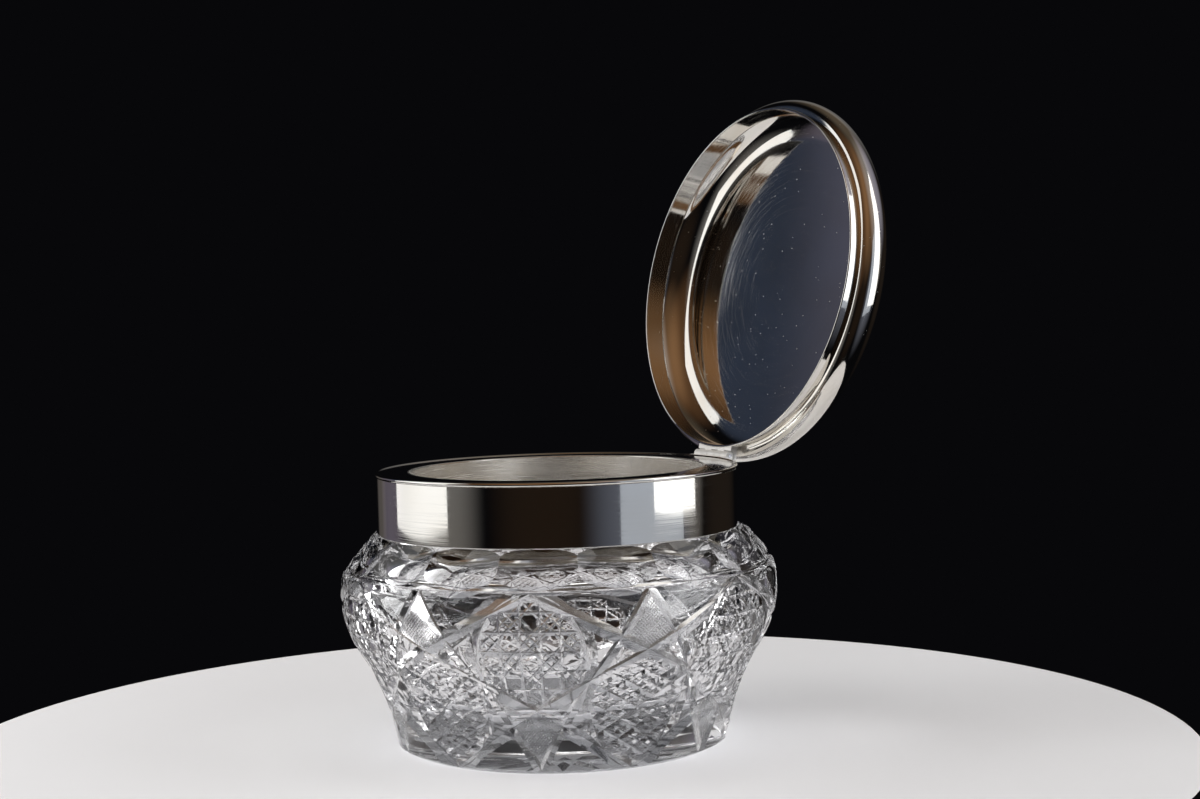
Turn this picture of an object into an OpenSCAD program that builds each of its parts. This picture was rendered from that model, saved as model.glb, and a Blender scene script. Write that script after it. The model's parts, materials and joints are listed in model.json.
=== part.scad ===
// Cut glass jar with a hinged silver lid, shown open and leaning on its stop.
// Millimetres, Z up, bowl axis at the origin, flat base on z = 0, hinge at +Y with its pin along X.
// Closed, the lid rim lies on the collar ring; every lid part is drawn closed and turned back by lid_open.

/* [Glass bowl] */
// widest radius of the bowl belly
body_r = 75; // [60:0.5:95]
// how far the edge of the foot is ground back from the outside
foot_back = 2.9; // [1:0.1:5]
// height of the ground edge of the foot
foot_edge = 1.5; // [0.5:0.1:3]
// height of the widest place above the table
belly_z = 53; // [48:0.5:58]
// radius of the rounded belly seen from the side
belly_arc = 35; // [33:0.5:40]
// radius of the hollow flare between foot and belly
flare_arc = 84; // [70:1:110]
// height where flare and belly meet
join_z = 34; // [30:0.5:38]
// height of the top edge of the cut pattern
pattern_z = 61; // [60:0.5:61.5]
// how deep the cove above the pattern goes in
cove_depth = 2.4; // [1:0.1:3]
// how far the ledge above the cove stands out past the collar
ledge_out = 10.1; // [8:0.1:14]
// height of the middle of the ledge
ledge_z = 63.9; // [63.5:0.1:64.4]
// radius of the rounded shoulder seen from the side
shoulder_arc = 14; // [13:0.2:16]
// thickness of the glass wall of the neck
neck_wall = 7.5; // [5:0.1:9]
// height of the top of the glass neck
neck_z = 91.8; // [88:0.1:92]
// thickness of the glass wall of the belly
wall_t = 9; // [7:0.5:12]
// thickness of the glass under the hollow
floor_t = 10; // [8:0.5:14]

/* [Cut pattern] */
// number of times that the pattern repeats round the bowl
repeats = 6; // [5:1:7]
// turn of the pattern against the hinge in degrees
pattern_turn = -7.1; // [-30:0.1:30]
// depth of the long crossing mitre cuts
mitre_depth = 1.1; // [0.6:0.1:1.6]
// number of scoops round the shoulder
scoops = 17; // [12:1:20]
// depth of a scoop at its middle
scoop_depth = 3.2; // [2.6:0.1:3.6]
// radius of the ball that a scoop is part of
scoop_ball = 50; // [44:1:60]
// depth of the mitre cuts round the ovals
oval_depth = 0.9; // [0.5:0.1:1.4]
// depth of both ends of the upright cuts between the ovals
blade_depth = 0.2; // [0.1:0.05:0.4]
// number of rays in the star under the base
rays = 24; // [16:1:24]
// depth of a ray near the middle of the base
ray_depth = 1.6; // [0.8:0.1:1.7]
// where the rays end on the side of the middle of the base
ray_from = 14; // [13:0.5:20]

/* [Silver collar] */
// outer radius of the collar band
collar_r = 61.9; // [61.4:0.1:62.2]
// height of the lower edge of the collar
collar_z = 73.2; // [73:0.1:73.6]
// thickness of the sheet of the band
band_t = 0.8; // [0.6:0.1:1.2]
// thickness of the cement between the glass neck and the band
bed_t = 2.6; // [1.6:0.1:3]
// height of the flat top of the rim ring
ring_z = 94; // [93.8:0.1:94.6]
// thickness of the flat part of the rim ring
ring_t = 1.2; // [1:0.1:1.6]
// radius of the half round bead round the rim ring
bead_r = 0.75; // [0.6:0.05:0.9]
// thickness of the sheet of the throat sleeve
sleeve_t = 0.8; // [0.6:0.1:1.2]
// height of the lower edge of the throat sleeve
sleeve_z = 80; // [76:0.5:88]

/* [Lid] */
// how far the lid bezel stands out past the collar
bezel_out = 0.7; // [0.5:0.1:1]
// thickness of the bezel wall
bezel_t = 0.9; // [0.7:0.1:1.2]
// height of the bezel above the lid rim
bezel_h = 4.2; // [3.5:0.1:5]
// how far the bezel reaches up inside the dome
bezel_in = 3.2; // [1:0.1:4]
// how far the round side of the lid stands out past the bezel
lid_out = 4.4; // [4:0.1:5]
// radius of the edge that is rolled in under the side of the lid
lid_roll = 3.6; // [3:0.1:3.8]
// radius of the rounded side of the lid
lid_arc = 11.4; // [9:0.2:13]
// rise of the flat crown of the lid above its rounded side
crown_rise = 2.8; // [1:0.2:6]
// thickness of the sheet of the lid
lid_t = 1; // [0.8:0.1:1.4]
// gap between lid rim and bead when the lid is closed
rim_gap = 0.15; // [0.1:0.05:0.3]

/* [Hinge] */
// opening of the lid at its stop in degrees
lid_open = 102; // [90:1:110]
// distance of the pin axis behind the collar
pin_out = 3.5; // [3.2:0.1:4]
// width of the hinge along the pin
hinge_w = 20.6; // [16:0.2:26]
// outer radius of the knuckles
knuckle_r = 1.6; // [1.4:0.1:1.8]
// radius of the hinge pin
pin_r = 0.7; // [0.5:0.05:0.8]
// play between the pin and the lid knuckles, on the radius
pin_play = 0.05; // [0.03:0.01:0.1]
// gap between neighbouring knuckles along the pin
knuckle_gap = 0.15; // [0.1:0.05:0.3]
// thickness of each hinge leaf
leaf_t = 2.4; // [2:0.1:3]
// how far each leaf reaches behind the pin axis
leaf_back = 2.6; // [2.2:0.1:3.2]
// room between the leaves when the lid is closed
leaf_gap = 0.2; // [0.1:0.05:0.4]
// room round a knuckle in the other leaf
leaf_room = 0.3; // [0.3:0.05:0.5]

/* [Hidden] */
$fn = 96;
neck_r = collar_r - band_t - bed_t;
sleeve_r = neck_r - neck_wall;
throat_r = sleeve_r - sleeve_t;
ledge_r = collar_r + ledge_out;
bezel_r = collar_r + bezel_out;
lid_r = bezel_r + lid_out;
pin_y = collar_r + pin_out;
leaf_y = collar_r - 4;
close_z = ring_z - ring_t + 2 * bead_r;
bead_x = collar_r + 0.4 - bead_r;
bead_z = ring_z - ring_t + bead_r;
belly_x = body_r - belly_arc;
join_a = asin((belly_z - join_z) / belly_arc);
join_r = belly_x + belly_arc * cos(join_a);
flare_x = join_r + flare_arc * cos(join_a);
flare_z = join_z - flare_arc * sin(join_a);
hollow_r = body_r - wall_t;
hollow_arc = 24;
hollow_z = belly_z - 5;
hollow_join = join_z;
hollow_x = hollow_r - hollow_arc;
hollow_a = asin((hollow_z - hollow_join) / hollow_arc);
hollow_flare = 80;
hollow_fx = hollow_x + (hollow_arc + hollow_flare) * cos(hollow_a);
hollow_fz = hollow_z - (hollow_arc + hollow_flare) * sin(hollow_a);
dish = 160;
corner = 10;
// the middle of the round corner inside touches the dish of the floor and the flare of the wall
corner_gap = norm([hollow_fx, floor_t + dish - hollow_fz]);
corner_along = (pow(dish - corner, 2) - pow(hollow_flare + corner, 2) + pow(corner_gap, 2)) / (2 * corner_gap);
corner_off = sqrt(pow(dish - corner, 2) - pow(corner_along, 2));
corner_dx = hollow_fx / corner_gap;
corner_dz = (hollow_fz - floor_t - dish) / corner_gap;
corner_x = corner_dx * corner_along + corner_dz * corner_off;
corner_z = floor_t + dish + corner_dz * corner_along - corner_dx * corner_off;
shoulder_x = ledge_r - 0.4 - sqrt(pow(shoulder_arc, 2) - 16);
shoulder_z = ledge_z - 4;
dome_x = lid_r - lid_arc;
dome_z = bezel_h + lid_roll;
lid_h = dome_z + lid_arc + crown_rise;
dome_arc = (pow(dome_x, 2) + pow(lid_h - dome_z, 2) - pow(lid_arc, 2)) / (2 * (lid_h - dome_z - lid_arc));
// where the crown meets the rounded side, as an angle from the lid's axis
dome_turn = atan(dome_x / (dome_z - lid_h + dome_arc));
knuckle_w = (hinge_w - 4 * knuckle_gap) / 5;
// lower edge and middle of the cut pattern
pattern_low = 1;
middle_z = (pattern_z + pattern_low) / 2;
half_z = (pattern_z - pattern_low) / 2;

// radius of the uncut bowl at a height
function body_at(z) =
  z < join_z ? flare_x - sqrt(pow(flare_arc, 2) - pow(z - flare_z, 2))
  : belly_x + sqrt(pow(belly_arc, 2) - pow(z - belly_z, 2));
// radius of the ring that the jar stands on
foot_r = body_at(0) - foot_back;
// point of the uncut bowl at an angle and a height
function on_body(a, z) = [body_at(z) * cos(a), body_at(z) * sin(a), z];
// slope of the uncut bowl, as the angle that it leans outward
function lean_at(z) =
  z < join_z ? asin((z - flare_z) / flare_arc)
  : -asin((z - belly_z) / belly_arc);
// outward direction of the uncut bowl
function out_of(a, z) = [cos(a) * cos(lean_at(z)), sin(a) * cos(lean_at(z)), -sin(lean_at(z))];
function unit(v) = v / norm(v);

silver = [0.8, 0.8, 0.82];
bright = [0.88, 0.88, 0.9];
glass = [0.72, 0.86, 0.92, 0.6];
plaster = [0.86, 0.83, 0.76];
steel = [0.55, 0.56, 0.58];

// half outline of the outside of the bowl below the cove
module lower_outline() {
  difference() {
    square([flare_x, join_z]);
    translate([flare_x, flare_z]) circle(r=flare_arc, $fn=240);
    // the edge of the foot is ground off
    polygon([[foot_r, 0], [body_at(foot_edge), foot_edge], [body_at(0) + 2, foot_edge], [body_at(0) + 2, -1], [foot_r, -1]]);
  }
  intersection() {
    translate([belly_x, belly_z]) circle(r=belly_arc, $fn=160);
    translate([0, join_z]) square([body_r + 5, pattern_z - join_z]);
  }
  translate([0, join_z - 0.01]) square([belly_x, pattern_z - join_z + 0.01]);
}

// half outline of the ledge, the shoulder and the neck
module upper_outline() {
  cove_r = body_at(pattern_z) - cove_depth;
  translate([0, pattern_z - 1]) square([cove_r, 3]);
  translate([0, ledge_z - 1.4]) square([ledge_r - 1.4, 2]);
  translate([ledge_r - 1.2, ledge_z - 0.2]) circle(r=1.2, $fn=32);
  intersection() {
    translate([shoulder_x, shoulder_z]) circle(r=shoulder_arc, $fn=96);
    translate([0, ledge_z]) square([ledge_r, collar_z - ledge_z]);
  }
  translate([0, ledge_z]) square([shoulder_x + 1, collar_z - ledge_z]);
  translate([0, collar_z - 1]) square([neck_r, neck_z - collar_z + 1]);
}

// half outline of the hollow, with a round corner between floor and wall
module hollow_outline() {
  difference() {
    union() {
      difference() {
        translate([0, floor_t]) square([hollow_fx, hollow_join - floor_t]);
        translate([hollow_fx, hollow_fz]) circle(r=hollow_flare, $fn=240);
      }
      intersection() {
        translate([hollow_x, hollow_z]) circle(r=hollow_arc, $fn=120);
        translate([0, hollow_join]) square([hollow_r, 2 * hollow_arc]);
      }
      translate([0, hollow_join - 0.01]) square([hollow_x, hollow_z + hollow_arc - hollow_join]);
      translate([0, hollow_join]) square([sleeve_r, neck_z]);
    }
    // everything under the dish of the floor is glass
    difference() {
      translate([-1, 0]) square([body_r, hollow_join]);
      translate([0, floor_t + dish]) circle(r=dish, $fn=480);
    }
    // the corner goes, and the round below takes its place
    difference() {
      translate([corner_x, 0]) square([body_r, corner_z]);
      translate([corner_x, corner_z]) circle(r=corner, $fn=64);
    }
  }
}

// a straight V cut from one point of the bowl to the next
module v_cut(a1, z1, a2, z2, depth) {
  p = on_body(a1, z1);
  q = on_body(a2, z2);
  along = unit(q - p);
  out0 = out_of((a1 + a2) / 2, (z1 + z2) / 2);
  out = unit(out0 - along * (out0 * along));
  side = cross(out, along);
  over = 0.8;
  s = p - along * over;
  multmatrix([
    [side[0], out[0], along[0], s[0]],
    [side[1], out[1], along[1], s[1]],
    [side[2], out[2], along[2], s[2]]])
    linear_extrude(norm(q - p) + 2 * over)
      polygon([[0, -depth], [3.2, 3.2 - depth], [-3.2, 3.2 - depth]]);
}

// long mitre cuts of one hand, each passing under one and a half repeats from the top edge down to the foot;
// a cut is a row of straight bars, and this draws every other bar of it, beginning with the one called first
module long_cuts(way, first) {
  steps = 6;
  turn = way * 1.5 * 360 / repeats / steps;
  drop = (pattern_z - pattern_low) / steps;
  for (k = [0 : repeats - 1], i = [first : 2 : steps - 1]) {
    start = 90 + pattern_turn + k * 360 / repeats;
    v_cut(start + turn * i, pattern_z - drop * i, start + turn * (i + 1), pattern_z - drop * (i + 1), mitre_depth);
  }
}

// half the width of an oval in degrees, at a share of the way from its point to its widest place
function bow(t) = 90 / repeats * sqrt(t) * (1.5 - 0.5 * t);

// one side of every oval: straight bars from the widest place to the crossing, and bowed bars to the point;
// half of the ovals stand on their heads, and part is the place of the bar in the side
module oval_cuts(way, part) {
  straight = 2;
  bowed = 3;
  for (k = [0 : repeats - 1], up = [-1, 1]) {
    top = 90 + pattern_turn + (k + (up > 0 ? 0 : 0.5)) * 360 / repeats;
    from = part < straight ? part / straight : (part - straight) / bowed;
    to = part < straight ? (part + 1) / straight : (part + 1 - straight) / bowed;
    if (part < straight)
      v_cut(
        top + way * 90 / repeats * from, middle_z - up * half_z * (1 - from),
        top + way * 90 / repeats * to, middle_z - up * half_z * (1 - to),
        oval_depth);
    else
      v_cut(
        top + way * bow(from), middle_z + up * half_z * (1 - from),
        top + way * bow(to), middle_z + up * half_z * (1 - to),
        oval_depth);
  }
}

// upright cuts over the widest places of the ovals, deepest in their middle because the belly is round
module blade_cuts() {
  for (k = [0 : 2 * repeats - 1]) {
    a = 90 + pattern_turn + (k + 0.5) * 180 / repeats;
    v_cut(a, middle_z + 2, a, middle_z + 19, blade_depth);
  }
}

module glass_bowl() {
  color(glass)
    difference() {
      rotate_extrude() {
        difference() {
          union() {
            lower_outline();
            upper_outline();
          }
          hollow_outline();
        }
      }
      long_cuts(-1, 0);
      long_cuts(-1, 1);
      long_cuts(1, 0);
      long_cuts(1, 1);
      oval_cuts(-1, 0);
      oval_cuts(-1, 1);
      oval_cuts(-1, 2);
      oval_cuts(-1, 3);
      oval_cuts(-1, 4);
      oval_cuts(1, 0);
      oval_cuts(1, 1);
      oval_cuts(1, 2);
      oval_cuts(1, 3);
      oval_cuts(1, 4);
      blade_cuts();
      shoulder_scoops();
      base_star();
    }
}

// scoops round the shoulder that meet in short ridges, each part of a ball
module shoulder_scoops() {
  tilt = 40;
  for (k = [0 : scoops - 1])
    rotate([0, 0, 81.3 - 90 + 180 / scoops + k * 360 / scoops])
      translate([0, shoulder_x, shoulder_z])
        rotate([tilt, 0, 0])
          translate([0, shoulder_arc + scoop_ball - scoop_depth, 0])
            sphere(r=scoop_ball, $fn=120);
}

// a star of rays under the base, deepest towards the middle and running out before the ring that the jar stands on
module base_star() {
  reach = foot_r - 7;
  long = reach - ray_from;
  for (k = [0 : rays - 1])
    rotate([0, 0, k * 360 / rays])
      translate([0, reach, 0])
        rotate([-atan(ray_depth / long), 0, 0])
          rotate([90, 0, 0])
            linear_extrude(long)
              polygon([[0, 0], [4, -4], [-4, -4]]);
}

// cement between the glass neck and the silver
module plaster_bed() {
  color(plaster)
    rotate_extrude() {
      translate([neck_r, collar_z]) square([collar_r - band_t - neck_r, ring_z - ring_t - collar_z]);
      translate([sleeve_r, neck_z]) square([collar_r - band_t - sleeve_r, ring_z - ring_t - neck_z]);
    }
}

module collar_band() {
  color(silver)
    rotate_extrude()
      translate([collar_r - band_t, collar_z]) square([band_t, ring_z - ring_t - collar_z]);
}

// flat ring over the neck with a half round bead outside
module rim_ring() {
  color(bright)
    rotate_extrude() {
      translate([sleeve_r, ring_z - ring_t]) square([bead_x - sleeve_r, ring_t]);
      translate([bead_x, bead_z]) circle(r=bead_r, $fn=48);
    }
}

module throat_sleeve() {
  color(silver)
    rotate_extrude()
      translate([throat_r, sleeve_z]) square([sleeve_r - throat_r, ring_z - sleeve_z]);
}

// start of one of the five knuckles along the pin
function knuckle_x(i) = -hinge_w / 2 + i * (knuckle_w + knuckle_gap);

module tube(i, bore) {
  translate([knuckle_x(i), pin_y, close_z])
    rotate([0, 90, 0])
      difference() {
        cylinder(h=knuckle_w, r=knuckle_r, $fn=48);
        translate([0, 0, -1]) cylinder(h=knuckle_w + 2, r=bore, $fn=32);
      }
}

// room for a knuckle in a leaf: close for its own, wide for one of the other leaf
module knuckle_seat(i, own) {
  // the wide seats run a hair into the close ones, so that no film is left between them
  more = own ? 0 : knuckle_gap + 0.02;
  translate([knuckle_x(i) - more, pin_y, close_z])
    rotate([0, 90, 0])
      cylinder(h=knuckle_w + 2 * more, r=knuckle_r + (own ? 0 : leaf_room), $fn=48);
}

// half of the hinge: a block bevelled behind the pin, so that two of them meet at the stop
module leaf(up, own) {
  difference() {
    translate([-hinge_w / 2, leaf_y, close_z])
      rotate([90, 0, 90])
        linear_extrude(hinge_w)
          polygon([
            [0, up * leaf_gap / 2],
            [pin_y - leaf_y, up * leaf_gap / 2],
            [pin_y - leaf_y + leaf_back * cos(lid_open / 2), up * leaf_back * sin(lid_open / 2)],
            [pin_y - leaf_y + leaf_back * cos(lid_open / 2) - 0.9, up * (leaf_t + 0.4)],
            [0, up * (leaf_t + 0.4)]]);
    for (i = [0 : 4])
      knuckle_seat(i, len(search(i, own)) > 0);
  }
}

module collar_leaf() {
  color(bright)
    difference() {
      leaf(-1, [0, 2, 4]);
      translate([0, 0, collar_z]) cylinder(h=bead_z - collar_z, r=collar_r, $fn=360);
      rotate_extrude($fn=360) {
        translate([0, ring_z - ring_t]) square([bead_x, 3]);
        translate([bead_x, bead_z]) circle(r=bead_r, $fn=48);
      }
    }
}

module collar_knuckle_left() {
  color(bright) tube(0, pin_r);
}

module collar_knuckle_middle() {
  color(bright) tube(2, pin_r);
}

module collar_knuckle_right() {
  color(bright) tube(4, pin_r);
}

module hinge_pin() {
  color(steel)
    translate([-hinge_w / 2 - 0.2, pin_y, close_z])
      rotate([0, 90, 0])
        cylinder(h=hinge_w + 0.4, r=pin_r, $fn=32);
}

// turns what is drawn closed back to the stop
module opened() {
  translate([0, pin_y, close_z])
    rotate([-lid_open, 0, 0])
      translate([0, -pin_y, -close_z])
        children();
}

module lid_knuckle_left() {
  color(bright) opened() tube(1, pin_r + pin_play);
}

module lid_knuckle_right() {
  color(bright) opened() tube(3, pin_r + pin_play);
}

module lid_leaf() {
  color(bright)
    opened()
      difference() {
        leaf(1, [1, 3]);
        translate([0, 0, close_z - 5]) cylinder(h=5 + rim_gap + bezel_h, r=bezel_r, $fn=360);
      }
}

module lid_bezel() {
  color(bright)
    opened()
      rotate_extrude()
        translate([bezel_r - bezel_t, close_z + rim_gap]) square([bezel_t, bezel_h + bezel_in]);
}

// half outline of the lid filled to the axis, shrunk by the sheet for its inside
module dome_outline(inset) {
  intersection() {
    translate([dome_x, dome_z]) circle(r=lid_arc - inset, $fn=96);
    translate([dome_x, dome_z]) square(lid_arc);
  }
  intersection() {
    translate([0, lid_h - dome_arc]) circle(r=dome_arc - inset, $fn=720);
    translate([0, dome_z]) square([dome_x + (lid_arc - inset) * sin(dome_turn), lid_h]);
  }
  translate([lid_r - lid_roll, dome_z]) circle(r=lid_roll - inset, $fn=64);
  translate([0, bezel_h + inset]) square([lid_r - lid_roll, lid_roll - inset + 0.01]);
}

module lid_dome() {
  color(silver)
    opened()
      translate([0, 0, close_z + rim_gap])
        rotate_extrude()
          difference() {
            dome_outline(0);
            dome_outline(lid_t);
            // the bezel goes through the opening
            translate([0, bezel_h - 1]) square([bezel_r, lid_t + 1.5]);
          }
}

glass_bowl();
plaster_bed();
collar_band();
rim_ring();
throat_sleeve();
collar_leaf();
collar_knuckle_left();
collar_knuckle_middle();
collar_knuckle_right();
hinge_pin();
lid_knuckle_left();
lid_knuckle_right();
lid_leaf();
lid_bezel();
lid_dome();
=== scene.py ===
# %% Load the fixed frame
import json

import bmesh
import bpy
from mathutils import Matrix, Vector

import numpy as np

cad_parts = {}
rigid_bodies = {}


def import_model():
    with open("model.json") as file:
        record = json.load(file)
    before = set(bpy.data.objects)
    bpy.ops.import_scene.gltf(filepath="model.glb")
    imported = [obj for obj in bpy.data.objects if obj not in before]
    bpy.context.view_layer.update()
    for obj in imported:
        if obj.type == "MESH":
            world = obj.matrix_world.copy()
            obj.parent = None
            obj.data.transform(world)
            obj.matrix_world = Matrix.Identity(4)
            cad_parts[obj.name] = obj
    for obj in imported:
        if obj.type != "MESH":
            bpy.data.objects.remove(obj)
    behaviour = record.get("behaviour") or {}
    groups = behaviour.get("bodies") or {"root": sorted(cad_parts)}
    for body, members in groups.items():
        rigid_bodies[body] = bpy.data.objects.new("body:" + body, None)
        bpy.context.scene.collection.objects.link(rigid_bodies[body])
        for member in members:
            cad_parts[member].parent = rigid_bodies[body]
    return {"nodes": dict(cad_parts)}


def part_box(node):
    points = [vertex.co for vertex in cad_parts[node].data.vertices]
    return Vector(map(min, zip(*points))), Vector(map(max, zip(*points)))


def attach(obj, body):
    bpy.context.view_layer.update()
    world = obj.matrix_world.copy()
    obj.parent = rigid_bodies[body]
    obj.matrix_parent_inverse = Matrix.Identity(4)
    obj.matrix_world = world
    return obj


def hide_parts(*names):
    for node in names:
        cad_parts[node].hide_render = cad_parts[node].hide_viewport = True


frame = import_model()

# %% [markdown]
# # A cut glass jar with a hinged silver lid
#
# The jar is a thick bowl of lead crystal, cut all over on the wheel, with a silver collar cemented on its neck and a
# domed silver lid on a pinned hinge. The solids of the frame have the right sizes and joints. What they lack is what
# makes this object: the fine cutting, and silver that mirrors the studio without a facet showing.
#
# So the bowl and the round silver pieces are made again here as fine surfaces of the same sizes, each riding on its
# own body, and the small flat pieces of the hinge keep their solids and get a finish.

MM = 0.001
bpy.context.view_layer.update()


def corners_mm(node):
    """Lowest and highest corner of a solid of the frame, in millimetres."""
    low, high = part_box(node)
    return np.array(low) / MM, np.array(high) / MM


# %% [markdown]
# ## Sizes
#
# The sizes that can be read from the frame are read from it, so the looks follow the solids. They could all be typed
# in again, but then a change of the solids would leave the looks behind. The rest are the heights and the radii of
# the arcs that shape the glass, in millimetres: a pressed or blown bowl is all arcs, and its light bends at them.

# %% Sizes read from the frame
bowl_high = corners_mm("glass_bowl")[1]
band_low, band_high = corners_mm("collar_band")
ring_high = corners_mm("rim_ring")[1]
sleeve_low, sleeve_high = corners_mm("throat_sleeve")
# the belly stays a hair inside the solid's box
BELLY_R = bowl_high[0] - 0.01
NECK_TOP = bowl_high[2]
BAND_R, BAND_LOW, BAND_TOP = band_high[0], band_low[2], band_high[2]
RING_R, BEAD_TOP = ring_high[0], ring_high[2]
SLEEVE_R, SLEEVE_LOW, RING_TOP = sleeve_high[0], sleeve_low[2], sleeve_high[2]
# the neck is hidden in the plaster; the hair keeps glass and silver apart, because two walls in one place render badly
NECK_R = 58.5
HAIR = 0.05
print("belly radius", BELLY_R, "collar radius", BAND_R, "ring top", RING_TOP, "sleeve radius", SLEEVE_R)

# %% Sizes of the arcs
# Z is a height, ARC a radius in the outline, and JOIN the height where one arc goes over into the next
BELLY_Z, BELLY_ARC = 53.0, 35.0
JOIN_Z, FLARE_ARC = 34.0, 84.0
PATTERN_TOP, PATTERN_LOW = 61.0, 1.0
FOOT_EDGE, FOOT_BACK = 1.5, 2.9
COVE_DEPTH, LEDGE_Z, LEDGE_ROUND = 2.4, 63.9, 1.2
LEDGE_R = BAND_R + 10.1
SHOULDER_ARC, SHOULDER_DROP = 14.0, 4.0
HOLLOW_R, HOLLOW_ARC, HOLLOW_Z = 66.0, 24.0, 48.0
HOLLOW_JOIN, HOLLOW_FLARE = 34.0, 80.0
FLOOR_T, DISH, CORNER = 10.0, 160.0, 10.0

belly_x = BELLY_R - BELLY_ARC
join_a = np.arcsin((BELLY_Z - JOIN_Z) / BELLY_ARC)
flare_x = belly_x + (BELLY_ARC + FLARE_ARC) * np.cos(join_a)
flare_z = BELLY_Z - (BELLY_ARC + FLARE_ARC) * np.sin(join_a)


def body_radius(z):
    """Radius of the uncut body at height z: the outward arc of the belly above, the inward arc of the flare below."""
    z = np.asarray(z, float)
    belly = belly_x + np.sqrt(np.maximum(BELLY_ARC**2 - (z - BELLY_Z) ** 2, 0))
    flare = flare_x - np.sqrt(np.maximum(FLARE_ARC**2 - (z - flare_z) ** 2, 0))
    return np.where(z < JOIN_Z, flare, belly)


def body_slope(z):
    """Change of that radius for each millimetre of height, from two heights close together."""
    step = 0.01
    return (body_radius(z + step) - body_radius(z - step)) / (2 * step)


print("foot radius", round(float(body_radius(0.0)), 2), "join radius", round(float(body_radius(JOIN_Z)), 2))

# %% [markdown]
# ## Outlines and surfaces
#
# Every round piece is an outline turned about an axis. An outline is a chain of arcs and straight lines, and each
# point also carries the exact direction that the surface faces there, so a polished piece shows no facets. The turned
# surface is a grid: one index goes round, the other goes along the outline. Blender's Screw modifier would turn an
# outline too, but it knows nothing of those directions, and in a mirror finish a wrong one shows as a kink.

# %% Outline helpers
def arc(centre, radius, start, end, count, side=1):
    """Points on an arc from angle start to end in degrees, with normals pointing away from the centre times side."""
    a = np.radians(np.linspace(start, end, count))
    direction = np.stack([np.cos(a), np.sin(a)], 1)
    return np.array(centre) + radius * direction, side * direction


def fillet(corners, radii, count=7):
    """Outline of a closed polygon with each corner rounded by an arc: the arc touches both sides of the corner."""
    corners = np.array(corners, float)
    points, normals = [], []
    for k, radius in enumerate(radii):
        here, before, after = corners[k], corners[k - 1], corners[(k + 1) % len(corners)]
        into = (here - before) / np.linalg.norm(here - before)
        out = (after - here) / np.linalg.norm(after - here)
        turn = np.arctan2(into[0] * out[1] - into[1] * out[0], into @ out)
        back = radius * np.tan(abs(turn) / 2)
        left = np.sign(turn) * np.array([-into[1], into[0]])
        centre = here - into * back + left * radius
        a = np.linspace(0, turn, count)
        spoke = np.outer(np.cos(a), -left) + np.outer(np.sin(a), np.sign(turn) * into)
        points.append(centre + radius * spoke)
        normals.append(np.sign(turn) * spoke)
    return np.concatenate(points), np.concatenate(normals)


def rotated(points, degrees, i, j):
    """Points turned by an angle from axis i towards axis j."""
    a = np.radians(degrees)
    moved = np.array(points, float)
    p, q = moved[..., i].copy(), moved[..., j].copy()
    moved[..., i], moved[..., j] = p * np.cos(a) - q * np.sin(a), p * np.sin(a) + q * np.cos(a)
    return moved


def tube(r0, r1, z0, z1, radii):
    """Outline of a tube between two radii and two heights, its corners rounded from the inner low one on."""
    return fillet([[r0, z0], [r1, z0], [r1, z1], [r0, z1]], radii)


def between(x0, z0, x1, z1, count=2):
    """Points on a straight line."""
    t = np.linspace(0, 1, count)[:, None]
    return (1 - t) * np.array([x0, z0]) + t * np.array([x1, z1])


def straight(x0, z0, x1, z1, *normal):
    """A straight stretch of an outline with its normal."""
    return between(x0, z0, x1, z1), np.array([normal, normal], float)


def chain(*stretches):
    """Joins outline stretches, leaving out points that repeat the one before."""
    points = np.concatenate([s[0] for s in stretches])
    normals = np.concatenate([s[1] for s in stretches])
    keep = np.r_[True, np.linalg.norm(np.diff(points, axis=0), axis=1) > 1e-6]
    return points[keep], normals[keep]


# %% Mesh helpers
def put_mesh(name, points, faces, uv=None, facing=None):
    """New object from points in millimetres and faces as rows of point numbers. A number that repeats in its row is
    left out, so the quads at a pole become triangles, and points that no face uses are dropped."""
    faces = np.asarray(faces, np.int32)
    keep = faces != np.roll(faces, -1, 1)
    whole = keep.sum(1) > 2
    faces, keep = faces[whole], keep[whole]
    used, corners = np.unique(faces[keep], return_inverse=True)
    sides = keep.sum(1)
    mesh = bpy.data.meshes.new(name)
    mesh.vertices.add(len(used))
    mesh.vertices.foreach_set("co", np.asarray(points[used] * MM, np.float32).ravel())
    mesh.loops.add(corners.size)
    mesh.loops.foreach_set("vertex_index", corners.astype(np.int32).ravel())
    mesh.polygons.add(len(faces))
    mesh.polygons.foreach_set("loop_start", (np.cumsum(sides) - sides).astype(np.int32))
    mesh.polygons.foreach_set("use_smooth", np.ones(len(faces), bool))
    if uv is not None:
        mesh.uv_layers.new(name="UVMap").data.foreach_set("uv", np.asarray(uv[whole][keep], np.float32).ravel())
    mesh.update(calc_edges=True)
    if facing is not None:
        mesh.normals_split_custom_set_from_vertices(facing[used].astype(np.float32))
    thing = bpy.data.objects.new(name, mesh)
    bpy.context.scene.collection.objects.link(thing)
    return thing


def grid_faces(rows, columns, wrap_rows, wrap_columns, poles=None):
    """Quads of a grid of points, with the first row or column joined to the last where it wraps. A column that is
    named as a pole is one point for all rows."""
    i, j = np.meshgrid(np.arange(rows if wrap_rows else rows - 1),
                       np.arange(columns if wrap_columns else columns - 1), indexing="ij")
    i, j = i.ravel(), j.ravel()
    i2, j2 = (i + 1) % rows, (j + 1) % columns
    quads = np.stack([i * columns + j, i2 * columns + j, i2 * columns + j2, i * columns + j2], 1)
    if poles is not None:
        quads = np.where(poles[quads % columns], quads % columns, quads)
    return quads, (i, j)


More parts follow.
